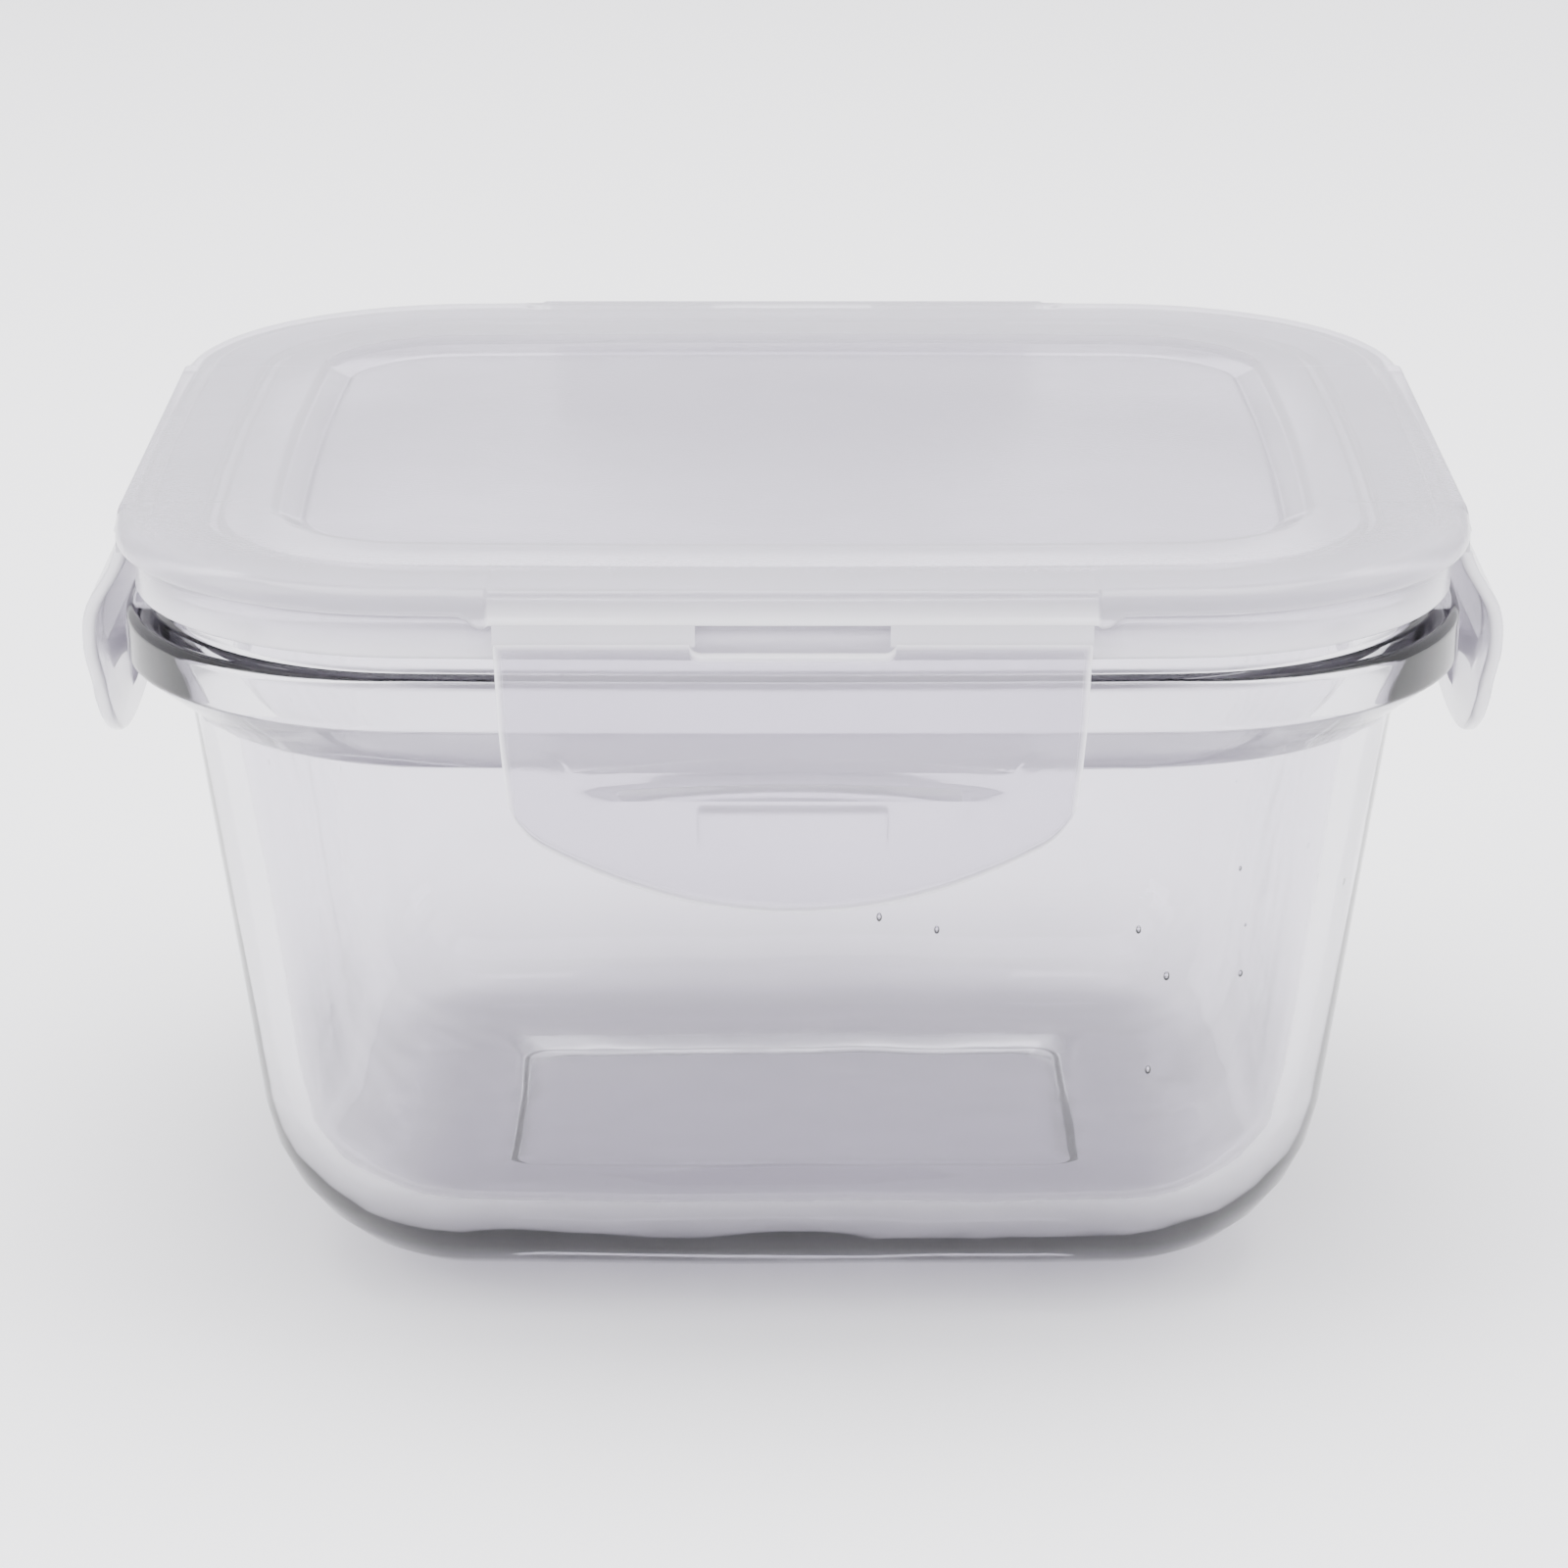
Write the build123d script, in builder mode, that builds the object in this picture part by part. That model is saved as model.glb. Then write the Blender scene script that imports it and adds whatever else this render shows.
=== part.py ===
"""Snap-lock glass food container: pressed glass dish, one-piece lid with four hinged latches, and seal.

Millimetres, +Z up.  The origin is at the centre of the bottom, and +X is to the right of the front.
"""
import os
from math import cos, radians, sin

from build123d import *

# Overall size
HEIGHT = 77.4
HALF_X = 65.0
HALF_Y = 58.5
SIDE_BOW = 2.2
CORNER = 29.5

# Glass dish: insets are measured inwards from the lid's outline, depths downwards from the lid's top
WALL = 4.0
FLOOR = 6.0
DRAFT = 0.14
WALL_CORNER = 33.0
JUNCTION_DEPTH = 18.7
JUNCTION_INSET = 6.3
FLANGE_INSET = 0.65
FLANGE_TOP_DEPTH = 8.7
FLANGE_EDGE_DEPTH = 13.4
LIP_TOP_DEPTH = 3.8
LIP_OUTER_INSET = 3.6
LIP_INNER_INSET = 8.3
OUTER_BOTTOM_RADIUS = 20.0
INNER_BOTTOM_RADIUS = 14.0
FLANGE_RADIUS = 1.0
LIP_RADIUS = 1.6
PUNT_X = 57.0
PUNT_Y = 37.0
PUNT_DEPTH = 1.0
PUNT_CORNER = 3.0

# Lid panel
PANEL = 1.5
BEAD_DEPTH = 2.4
BEAD_RADIUS = 1.8
SKIRT_INSET = 1.7
SKIRT = 1.4
SKIRT_DEPTH = 6.9
CHANNEL_RIB_INSET = 8.8
CHANNEL_RIB = 1.2
CHANNEL_RIB_DEPTH = 5.0
RECESS_INSET = 14.6
RECESS_NARROWING = 2.0
RECESS_SLOPE = 3.3
RECESS_DEPTH = 1.4

# Seal
SEAL_OUTER_INSET = 3.3
SEAL_INNER_INSET = 8.6
SEAL_DEPTH = 3.6
SEAL_RADIUS = 0.8

# Latches and their living hinges
LATCH_HALF_WIDTH = 27.1
LATCH_FOOT_HALF_WIDTH = 25.6
LATCH_SIDE_DEPTH = 21.6
LATCH_TIP_DEPTH = 29.4
LATCH_CORNER = 3.0
LATCH_REACH = 6.0
LATCH = 1.4
# Outer face of a latch: how far outside the lid's outline it stands, at each depth
LATCH_LINE = ((0.0, 4.7), (0.9, 7.0), (3.2, 11.0), (3.6, 15.0), (2.9, 19.0), (2.6, 23.5), (3.4, 29.8))
HINGE_WALL_OUT = 0.0
HINGE_WALL_TOP_OUT = -0.8
HINGE_WALL_DEPTH = 3.1
HINGE_WALL_HALF_WIDTH = 27.6
LATCH_TOP_DEPTH = 4.7
HINGE_DEPTH = (HINGE_WALL_DEPTH + LATCH_TOP_DEPTH) / 2
WEB = 0.4
WEB_BEAD_RADIUS = 0.35
WEB_RUNNING_GAP = 0.05
HINGE_OUT = HINGE_WALL_OUT - WEB_BEAD_RADIUS
SLOT_HALF_WIDTH = 8.8
SLOT_BOTTOM_DEPTH = 5.7
SLOT_DEPTH = SLOT_BOTTOM_DEPTH - HINGE_WALL_DEPTH
SLOT_CORNER = 1.2
RIB_HALF_LENGTH = 19.8
RIB_TOP_DEPTH = 16.0
RIB_BOTTOM_DEPTH = 18.1
RIB_TIP_INSET = 2.6
RIB_BASE_OUT = 2.5

SIDES = {"right": (0, HALF_X), "back": (90, HALF_Y), "left": (180, HALF_X), "front": (270, HALF_Y)}


def level(depth):
    """Horizontal plane at a depth below the lid's top."""
    return Plane.XY.offset(HEIGHT - depth)


def outline(inset, corner=CORNER, narrowing=0.0):
    """Rounded rectangle with slightly bowed sides, drawn in from the lid's outline by the inset.

    The narrowing draws in the front and the back a little more.
    """
    half_y = HALF_Y - narrowing
    x = HALF_X - SIDE_BOW
    y = half_y - SIDE_BOW
    with BuildSketch() as plan:
        with BuildLine():
            ThreePointArc((-x, -y), (0, -half_y), (x, -y))
            ThreePointArc((x, -y), (HALF_X, 0), (x, y))
            ThreePointArc((x, y), (0, half_y), (-x, y))
            ThreePointArc((-x, y), (-HALF_X, 0), (-x, -y))
        make_face()
        fillet(plan.vertices(), corner)
        if inset:
            offset(amount=-inset, mode=Mode.REPLACE)
    return plan.sketch


def section_plane(angle):
    """Vertical plane through the centre: local x points outwards and local y upwards."""
    a = radians(angle)
    return Plane(origin=(0, 0, 0), x_dir=(cos(a), sin(a), 0), z_dir=(sin(a), -cos(a), 0))


def facing_plane(angle, out=0.0):
    """Vertical plane that faces outwards: local x runs along the side and local y upwards."""
    a = radians(angle)
    return Plane(origin=(out * cos(a), out * sin(a), 0), x_dir=(-sin(a), cos(a), 0), z_dir=(cos(a), sin(a), 0))


def rib_plane(angle, out):
    """Horizontal plane at the rib's underside: local x runs along the side and local y inwards."""
    side = facing_plane(angle, out)
    origin = side.origin + Vector(0, 0, HEIGHT - RIB_BOTTOM_DEPTH)
    return Plane(origin=origin, x_dir=side.x_dir, z_dir=(0, 0, 1))


def wall_inset(depth):
    """Inset of the outer wall below the flange, which leans in by its draft."""
    return JUNCTION_INSET + DRAFT * (depth - JUNCTION_DEPTH)


def block(depth_top, depth_bottom, inset, narrowing=0.0):
    """Solid slab of the plan outline between two depths."""
    with BuildPart() as slab:
        with BuildSketch(level(depth_bottom)):
            add(outline(inset, narrowing=narrowing))
        extrude(amount=depth_bottom - depth_top)
    return slab.part


def ring(depth_top, depth_bottom, inset_outer, inset_inner):
    """Upright ring between two insets and two depths."""
    with BuildPart() as band:
        add(block(depth_top, depth_bottom, inset_outer))
        add(block(depth_top, depth_bottom, inset_inner), mode=Mode.SUBTRACT)
    return band.part


def taper(top, bottom, narrowing=0.0):
    """Solid between two outlines, each given by its depth, inset and corner radius."""
    with BuildPart() as solid:
        for depth, inset, corner in (bottom, top):
            with BuildSketch(level(depth)):
                add(outline(inset, corner, narrowing))
        loft(ruled=True)
    return solid.part


# ---------------------------------------------------------------- glass dish
with BuildPart() as dish:
    # Leaning wall, with its large bottom rounding
    junction = (JUNCTION_DEPTH, JUNCTION_INSET, WALL_CORNER)
    add(taper(junction, (HEIGHT, wall_inset(HEIGHT), WALL_CORNER)))
    fillet(dish.edges().group_by(Axis.Z)[0], OUTER_BOTTOM_RADIUS)
    # Flange: underside that leans out, and upright band
    add(taper((FLANGE_EDGE_DEPTH, FLANGE_INSET, CORNER), junction))
    add(block(FLANGE_TOP_DEPTH, FLANGE_EDGE_DEPTH, FLANGE_INSET))
    fillet(dish.edges().group_by(Axis.Z)[-1], FLANGE_RADIUS)
    # Upright lip that the seal sits on
    add(block(LIP_TOP_DEPTH, FLANGE_TOP_DEPTH, LIP_OUTER_INSET))

with BuildPart() as cavity:
    inner_junction = (JUNCTION_DEPTH, JUNCTION_INSET + WALL, WALL_CORNER)
    add(taper(inner_junction, (HEIGHT - FLOOR, wall_inset(HEIGHT - FLOOR) + WALL, WALL_CORNER)))
    fillet(cavity.edges().group_by(Axis.Z)[0], INNER_BOTTOM_RADIUS)
    add(taper((LIP_TOP_DEPTH, LIP_INNER_INSET, CORNER), inner_junction))

with BuildPart() as glass_dish:
    add(dish.part)
    add(cavity.part, mode=Mode.SUBTRACT)
    fillet(glass_dish.edges().group_by(Axis.Z)[-1], LIP_RADIUS)
    # Shallow stepped panel in the underside
    with BuildSketch():
        RectangleRounded(PUNT_X, PUNT_Y, PUNT_CORNER)
    extrude(amount=PUNT_DEPTH, mode=Mode.SUBTRACT)

# ---------------------------------------------------------------- lid panel
with BuildPart() as lid_panel:
    # Border with its rounded outer bead
    add(block(0, BEAD_DEPTH, 0))
    fillet(lid_panel.edges().group_by(Axis.Z)[-1], BEAD_RADIUS)
    add(block(PANEL, BEAD_DEPTH, SKIRT_INSET + SKIRT), mode=Mode.SUBTRACT)
    # Outer skirt and the rib that closes the seal channel
    add(ring(PANEL, SKIRT_DEPTH, SKIRT_INSET, SKIRT_INSET + SKIRT))
    add(ring(PANEL, CHANNEL_RIB_DEPTH, CHANNEL_RIB_INSET, CHANNEL_RIB_INSET + CHANNEL_RIB))
    # Sunken middle with sloping sides
    add(block(PANEL, RECESS_DEPTH + PANEL, RECESS_INSET + RECESS_SLOPE / 2, RECESS_NARROWING))
    recess_top = (0, RECESS_INSET, CORNER)
    recess_floor = (RECESS_DEPTH, RECESS_INSET + RECESS_SLOPE, CORNER)
    add(taper(recess_top, recess_floor, RECESS_NARROWING), mode=Mode.SUBTRACT)
    # Straight walls that carry the latches
    for angle, half in SIDES.values():
        wall_foot = HEIGHT - HINGE_WALL_DEPTH
        wall_back = half - SKIRT_INSET - SKIRT
        with BuildSketch(section_plane(angle)):
            with BuildLine():
                Polyline(
                    (wall_back, HEIGHT),
                    (half + HINGE_WALL_TOP_OUT, HEIGHT),
                    (half + HINGE_WALL_OUT, wall_foot),
                    (wall_back, wall_foot),
                    close=True,
                )
            make_face()
        extrude(amount=HINGE_WALL_HALF_WIDTH, both=True)

# ---------------------------------------------------------------- seal
with BuildPart() as lid_seal:
    add(ring(PANEL, SEAL_DEPTH, SEAL_OUTER_INSET, SEAL_INNER_INSET))
    fillet(lid_seal.edges().group_by(Axis.Z)[0], SEAL_RADIUS)

for piece, name in ((glass_dish, "glass_dish"), (lid_panel, "lid_panel"), (lid_seal, "lid_seal")):
    piece.part.label = name

PIECES = [glass_dish.part, lid_panel.part, lid_seal.part]


# ---------------------------------------------------------------- latches and hinge webs
def latch_curve(half, shift):
    """S-shaped section line: out over the flange, back in, and out again at the finger edge."""
    return [(half + out - shift, HEIGHT - depth) for out, depth in LATCH_LINE]


def latch_strip(angle, half):
    """The latch's panel before its outline is cut."""
    with BuildPart() as strip:
        with BuildSketch(section_plane(angle)):
            with BuildLine():
                outer = Spline(latch_curve(half, 0))
                inner = Spline(latch_curve(half, LATCH))
                Line(outer @ 0, inner @ 0)
                Line(outer @ 1, inner @ 1)
            make_face()
        extrude(amount=LATCH_HALF_WIDTH + 1, both=True)
    return strip.part


def latch_outline():
    """Front view of a latch: tapered sides, rounded lower corners and a curved finger edge."""
    top = HEIGHT - LATCH_TOP_DEPTH
    foot = HEIGHT - LATCH_SIDE_DEPTH
    with BuildSketch() as front:
        with BuildLine():
            Line((-LATCH_HALF_WIDTH, top), (LATCH_HALF_WIDTH, top))
            Line((LATCH_HALF_WIDTH, top), (LATCH_FOOT_HALF_WIDTH, foot))
            ThreePointArc(
                (LATCH_FOOT_HALF_WIDTH, foot),
                (0, HEIGHT - LATCH_TIP_DEPTH),
                (-LATCH_FOOT_HALF_WIDTH, foot),
            )
            Line((-LATCH_FOOT_HALF_WIDTH, foot), (-LATCH_HALF_WIDTH, top))
        make_face()
        fillet(front.vertices().group_by(Axis.Y)[0], LATCH_CORNER)
    return front.sketch


def latch(angle, half):
    """One latch with its slot, locking rib and the hinge lip that turns on the web."""
    with BuildPart() as piece:
        add(latch_strip(angle, half))
        with BuildSketch(facing_plane(angle, half - LATCH_REACH)):
            add(latch_outline())
        extrude(amount=2 * LATCH_REACH, mode=Mode.INTERSECT)
        # Locking rib: a lens in plan that reaches in under the flange
        with BuildSketch(rib_plane(angle, half + RIB_BASE_OUT)):
            with BuildLine():
                edge = Line((-RIB_HALF_LENGTH, 0), (RIB_HALF_LENGTH, 0))
                ThreePointArc(edge @ 0, (0, RIB_BASE_OUT + RIB_TIP_INSET), edge @ 1)
            make_face()
        extrude(amount=RIB_BOTTOM_DEPTH - RIB_TOP_DEPTH)
        # Hinge lip, hollowed to turn round the web's bead
        with BuildSketch(section_plane(angle)):
            with Locations((half + HINGE_OUT, HEIGHT - LATCH_TOP_DEPTH - WEB)):
                Rectangle(WEB, LATCH_TOP_DEPTH - HINGE_DEPTH + WEB, align=(Align.CENTER, Align.MIN))
        extrude(amount=LATCH_HALF_WIDTH, both=True)
        with BuildSketch(section_plane(angle)):
            with Locations((half + HINGE_OUT, HEIGHT - HINGE_DEPTH)):
                Circle(WEB_BEAD_RADIUS + WEB_RUNNING_GAP)
        extrude(amount=LATCH_HALF_WIDTH + 1, both=True, mode=Mode.SUBTRACT)
        # Moulded slot between the two strips of the hinge
        with BuildSketch(facing_plane(angle, half - LATCH_REACH)):
            with Locations((0, HEIGHT - SLOT_BOTTOM_DEPTH)):
                RectangleRounded(
                    2 * SLOT_HALF_WIDTH,
                    2 * SLOT_DEPTH,
                    SLOT_CORNER,
                    align=(Align.CENTER, Align.MIN),
                )
        extrude(amount=2 * LATCH_REACH, mode=Mode.SUBTRACT)
    return piece.part


def hinge_web(angle, half):
    """The two thin strips of a living hinge, one on each side of the slot, with their bead."""
    length = LATCH_HALF_WIDTH - SLOT_HALF_WIDTH
    with BuildPart() as piece:
        for start in (-LATCH_HALF_WIDTH, SLOT_HALF_WIDTH):
            with BuildSketch(section_plane(angle).offset(start)):
                with Locations((half + HINGE_OUT, HEIGHT - HINGE_DEPTH)):
                    Rectangle(WEB, HINGE_DEPTH - HINGE_WALL_DEPTH, align=(Align.CENTER, Align.MIN))
                    Circle(WEB_BEAD_RADIUS)
            extrude(amount=length)
    return piece.part


for side, (angle, half) in SIDES.items():
    flap = latch(angle, half)
    flap.label = f"{side}_latch"
    web = hinge_web(angle, half)
    web.label = f"{side}_hinge_web"
    PIECES += [flap, web]

os.makedirs("parts", exist_ok=True)
for piece in PIECES:
    export_step(piece, f"parts/{piece.label}.step")
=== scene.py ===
"""Looks of the snap-lock glass food container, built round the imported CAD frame.

Plan insets and depths are in millimetres, as on the drawing: insets inwards from the lid's outline,
depths downwards from the lid's top.  MM turns them into metres when a mesh is made.
"""

from math import asin, atan2, cos, hypot, pi, radians, sin, sqrt, tan
from random import Random

import bpy
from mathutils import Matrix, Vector, noise


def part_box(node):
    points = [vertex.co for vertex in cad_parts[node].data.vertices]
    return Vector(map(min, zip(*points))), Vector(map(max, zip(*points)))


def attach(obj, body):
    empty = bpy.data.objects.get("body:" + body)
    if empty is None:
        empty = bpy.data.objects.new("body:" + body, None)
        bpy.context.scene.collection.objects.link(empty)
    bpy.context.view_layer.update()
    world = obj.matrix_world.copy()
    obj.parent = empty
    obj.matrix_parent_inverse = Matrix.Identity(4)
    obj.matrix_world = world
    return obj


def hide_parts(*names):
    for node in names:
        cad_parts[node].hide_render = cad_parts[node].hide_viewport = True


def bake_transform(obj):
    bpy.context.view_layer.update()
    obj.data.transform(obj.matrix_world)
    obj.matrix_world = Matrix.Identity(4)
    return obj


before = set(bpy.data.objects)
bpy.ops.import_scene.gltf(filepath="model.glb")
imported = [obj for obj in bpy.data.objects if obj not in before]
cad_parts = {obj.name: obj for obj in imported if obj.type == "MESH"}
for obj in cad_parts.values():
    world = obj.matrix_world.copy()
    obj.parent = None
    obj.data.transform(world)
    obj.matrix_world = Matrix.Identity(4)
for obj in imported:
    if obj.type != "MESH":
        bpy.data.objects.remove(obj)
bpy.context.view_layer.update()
MM = 0.001

# ---------------------------------------------------------------- sizes
LID_LOW, LID_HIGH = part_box("lid_panel")
_, DISH_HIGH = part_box("glass_dish")

# Plan outline: half sizes, how far each side bows out, corner radii and points along it
HALF_X = (LID_HIGH.x - LID_LOW.x) / 2 / MM
HALF_Y = (LID_HIGH.y - LID_LOW.y) / 2 / MM
HEIGHT = LID_HIGH.z / MM
BOW = 2.2
CORNER = 29.5
WALL_CORNER = 33.0
CORNER_STEPS = 22
SIDE_STEPS = 12
MARK_LEAD = 0.4
MARK_MARGIN = 0.1
MARK_EXTRA_STEPS = 4

# Dish: wall, floor and draft; the junction is where the wall meets the flange
WALL = 4.0
FLOOR = 6.0
DRAFT = 0.14
JUNCTION = 18.7
JUNCTION_INSET = 6.3
FLANGE_TOP = 8.7
FLANGE_FOOT = 13.4
FLANGE_INSET = (HALF_X * MM - DISH_HIGH.x) / MM
LIP_TOP = HEIGHT - DISH_HIGH.z / MM
LIP_OUT = 3.6
LIP_IN = 8.3
FOOT_END = 34.0
FLOOR_END = 33.0
INSET_LIMIT = 32.6
DISH_STEPS = 7
LONG_RUN = 12
LONG_RUN_STEPS = 8

# Step in the dish's underside: half sizes, corner radius, bow and height
PUNT = (28.5, 18.5)
PUNT_CORNER = 3.0
PUNT_BOW = 0.02
PUNT_STEP = 1.0
PUNT_PANEL = (0.985, 0.98)
# Its rounded edge: factors on x and y, and the share of the step's height
PUNT_EDGE = ((0.997, 0.996, 0.85), (1.0, 1.0, 0.5), (1.004, 1.006, 0.15), (1.02, 1.03, 0.0))

# Unevenness of the pressed glass, stronger on the inside, which starts this far in from the outer wall
WAVE_LENGTH = 17.0
WAVE_UPRIGHT = 0.6
OUTER_WAVE = 0.08
INNER_WAVE = 0.22
INSIDE_FROM = 1.5
FOOT_FLAT = 0.01

# Bubbles in the glass wall: cover is the least glass beside one, top and foot are the bands without any
BUBBLE_COUNT = 26
BUBBLE_SEED = 11
BUBBLE_SIZE = (0.1, 0.32)
BUBBLE_STRETCH = 1.6
BUBBLE_COVER = 1.2
BUBBLE_TOP = 4
BUBBLE_FOOT = 26
BUBBLE_RINGS = 6
BUBBLE_AROUND = 10

# Lid: panel thickness, edge bead, skirt, seal channel and recess
PANEL = 1.5
BEAD = 2.4
SKIRT_OUT = 1.7
SKIRT_IN = 3.1
SKIRT_FOOT = (LID_HIGH.z - LID_LOW.z) / MM
CHANNEL_OUT = 8.8
CHANNEL_IN = 10.0
CHANNEL_FOOT = 5.0
RECESS_EDGE = 14.6
RECESS_FOOT = 17.9
RECESS_DEPTH = 1.4
RECESS_NARROWING = 2.0
NARROWING_FROM = 12
SECTION_END = 26.0
LID_STEPS = 5
UNDER_START = 1.2
UNDER_END = 1.0
# Radii of the lid's upper edge and bead: on the free outline, and at a hinge wall
EDGE_RADIUS = (1.75, 0.45)
BEAD_RADIUS = (0.5, 0.3)

# Straight wall that a latch's hinge hangs from, and the knobs in the bead at its ends
WALL_HALF = 27.6
WALL_TOP_OUT = -0.8
WALL_FOOT_OUT = 0.0
WALL_FOOT = 3.1
WALL_FADE = 0.5
KNOB_OUT = 0.25
KNOB_DROP = 1.1
KNOB_GAP = 0.6
KNOB_LENGTH = 2.2
LID_MARKS = tuple(WALL_HALF + d for d in (-0.3, -0.2, -0.1, 0.0, 0.1, 0.2, 0.3, 0.6, 0.9, 1.3, 1.8, 2.4))

# Strength of the painted highlight on the lid's rounded edges: by rounded corner of the lid's section, and
# for the bead's corner
LID_GLOW = {2: 0.2, 3: 0.25, 6: 0.7, 7: 0.7}
BEAD_PLACE = 4
BEAD_GLOW = 0.3
WALL_GLOW = 0.6

# Seal: top, underside and the tips of its two beads
SEAL_TOP = 1.55
SEAL_FOOT = 3.3
SEAL_BEAD = 3.6

# Latch: half widths at the hinge and at the foot, depths, thickness and rounded edge
FLAP_TOP = 4.7
FLAP_HALF = 27.1
FLAP_FOOT_HALF = 25.6
FLAP_SIDE = 21.6
FLAP_TIP = 29.4
FLAP_CORNER = 3.0
FLAP = 1.4
FLAP_EDGE = 0.55
# Painted highlight along the latch's edges fades out over this distance
EDGE_GLOW = 0.7
SLOT_HALF = 8.8
SLOT_FOOT = 5.7
SLOT_CORNER = 0.95
# How far out its outer face stands, at a depth
REACH = ((0.0, 4.7), (0.9, 7.0), (3.2, 11.0), (3.6, 15.0), (2.9, 19.0), (2.6, 23.5), (3.4, 29.8))

# Locking rib on the latch's back: half width, thickness in the middle, and its share of that at a depth
RIB_HALF = 19.8
RIB_SAG = 4.8
RIB_TOP = 16.0
RIB_PROFILE = (
    (RIB_TOP, 0),
    (RIB_TOP + 0.04, 0.86),
    (RIB_TOP + 0.2, 0.97),
    (RIB_TOP + 0.45, 1),
    (17.4, 1),
    (17.75, 0.96),
    (18.0, 0.8),
    (18.9, 0),
)
PAD = {"half": 8.2, "top": 19.4, "foot": 23.4, "thick": 0.45, "soft": 0.7}

# Places of the latch's points: distances from an edge, columns from the middle, and rows by the rib
EDGE_STEPS = (0.0, 0.05, 0.17, 0.35, 0.58)
SIDE_COLUMNS = (0.9, 1.4, 2.0, 2.8)
RIB_COLUMNS = (21.0, 1.5, 8)
SLOT_COLUMNS = (9.6, 9.2, 8.96, 8.85, 8.79, 8.72, 8.6, 8.4, 8.15, 7.85, 7.2)
MIDDLE_COLUMNS = (5.0, 3.0, 1.0)
RIB_MARGIN = 0.3
ROWS_TO_RIB = 20
ROW_OVER_RIB = RIB_TOP - 0.3
ROW_AT_RIB = RIB_TOP - 0.1
ROW_UNDER_RIB = 19.1
ROW_FROM_RIB = 19.3
ROWS_FROM_RIB = 16
PLAIN_ROWS = ROWS_TO_RIB + ROWS_FROM_RIB + len(RIB_PROFILE) + 3

# Living hinge: thickness, how far out it stands, overlap with the wall and the latch, and points
WEB = 0.4
WEB_OUT = -0.35
# Painted highlight on the hinge strips
WEB_GLOW = 0.6
WEB_IN_WALL = 0.3
WEB_IN_FLAP = 0.35
WEB_ROWS = 14
WEB_COLUMNS = 18

SIDES = {"right": (0, HALF_X), "back": (90, HALF_Y), "left": (180, HALF_X), "front": (270, HALF_Y)}

# Angles in degrees over which an edge is drawn sharp
DISH_SHARP = 60
LID_SHARP = 45
SEAL_SHARP = 60
FLAP_SHARP = 60
WEB_SHARP = 40

# ---------------------------------------------------------------- colours and light
GLASS_LOW, GLASS_HIGH = (0.82, 0.80, 0.85), (0.86, 0.84, 0.89)
GLASS_DEPTH = (0.60, 0.64, 0.625, 1)
GLASS_DENSITY = 16.0
PLASTIC_LOW, PLASTIC_HIGH = (0.765, 0.735, 0.815), (0.81, 0.78, 0.86)
SILICONE_LOW, SILICONE_HIGH = (0.86, 0.86, 0.89), (0.92, 0.92, 0.95)
# Painted highlight on rounded plastic edges: a pale colour, and the share of see-through kept there
EDGE_HIGHLIGHT_COLOUR = (0.97, 0.96, 0.99, 1)
EDGE_HIGHLIGHT_SEE_THROUGH = 0.2
GROUND_LOW, GROUND_HIGH = (0.94, 0.94, 0.94), (0.96, 0.96, 0.96)
# The values that most of a noise texture lies between
NOISE_LOW, NOISE_HIGH = 0.3, 0.7

STUDIO_COLOUR = (0.86, 0.85, 0.905, 1)
STUDIO_STRENGTH = 1.9
GROUND_SIZE = 6.0
GROUND_GAP = 0.0004

# Camera place and aim: distance in front of the centre, height over the lid's top, and downward pitch
CAMERA_BACK = 0.496
CAMERA_OVER = 0.128
CAMERA_PITCH = 18.45
CAMERA_SENSOR = 36
CAMERA_LENS = 116.7
CAMERA_SHIFT = -0.0056


# ---------------------------------------------------------------- mesh helpers
def mix(low, high, share):
    """The value a share of the way from one to the other."""
    return low + (high - low) * share


def spread(low, high, steps):
    """Evenly spaced values, both ends included."""
    return [low + (high - low) * k / steps for k in range(steps + 1)]


def smooth(value):
    """A soft step from 0 to 1."""
    value = max(0.0, min(1.0, value))
    return value * value * (3 - 2 * value)


def make_object(name, verts, faces, material, sharp_over, edges=None):
    """A mesh object from points in millimetres.  Edges gives each point's share of painted highlight along
    rounded edges.
    """
    mesh = bpy.data.meshes.new(name)
    mesh.from_pydata([(x * MM, y * MM, z * MM) for x, y, z in verts], [], faces)
    mesh.validate()
    # The edge attribute carries the painted edge highlight
    if edges:
        mesh.attributes.new("edge", "FLOAT", "POINT").data.foreach_set("value", edges)
    mesh.shade_smooth()
    mesh.set_sharp_from_angle(angle=radians(sharp_over))
    mesh.materials.append(material)
    piece = bpy.data.objects.new(name, mesh)
    bpy.context.scene.collection.objects.link(piece)
    return piece


def rounded(corners, steps):
    """A section line whose corners (inset, depth, radius) are turned into arcs."""
    line = []
    last = len(corners) - 1
    for i, (x, y, radius) in enumerate(corners):
        if i in (0, last) or radius == 0:
            line.append((x, y))
            continue
        # Directions to the neighbours, and half the angle between them
        before, after = corners[i - 1], corners[i + 1]
        ax, ay = before[0] - x, before[1] - y
        bx, by = after[0] - x, after[1] - y
        la, lb = hypot(ax, ay), hypot(bx, by)
        ax, ay, bx, by = ax / la, ay / la, bx / lb, by / lb
        dot = max(-0.9999, min(0.9999, ax * bx + ay * by))
        half = atan2(sqrt(1 - dot * dot), dot) / 2
        # The arc's centre lies on the line that halves the angle
        cut = radius / tan(half)
        mx, my = ax + bx, ay + by
        lm = hypot(mx, my)
        cx, cy = x + mx / lm * radius / sin(half), y + my / lm * radius / sin(half)
        start = atan2(y + ay * cut - cy, x + ax * cut - cx)
        end = atan2(y + by * cut - cy, x + bx * cut - cx)
        turn = (end - start + pi) % (2 * pi) - pi
        for k in range(steps + 1):
            angle = start + turn * k / steps
            line.append((cx + radius * cos(angle), cy + radius * sin(angle)))
    return line


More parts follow.
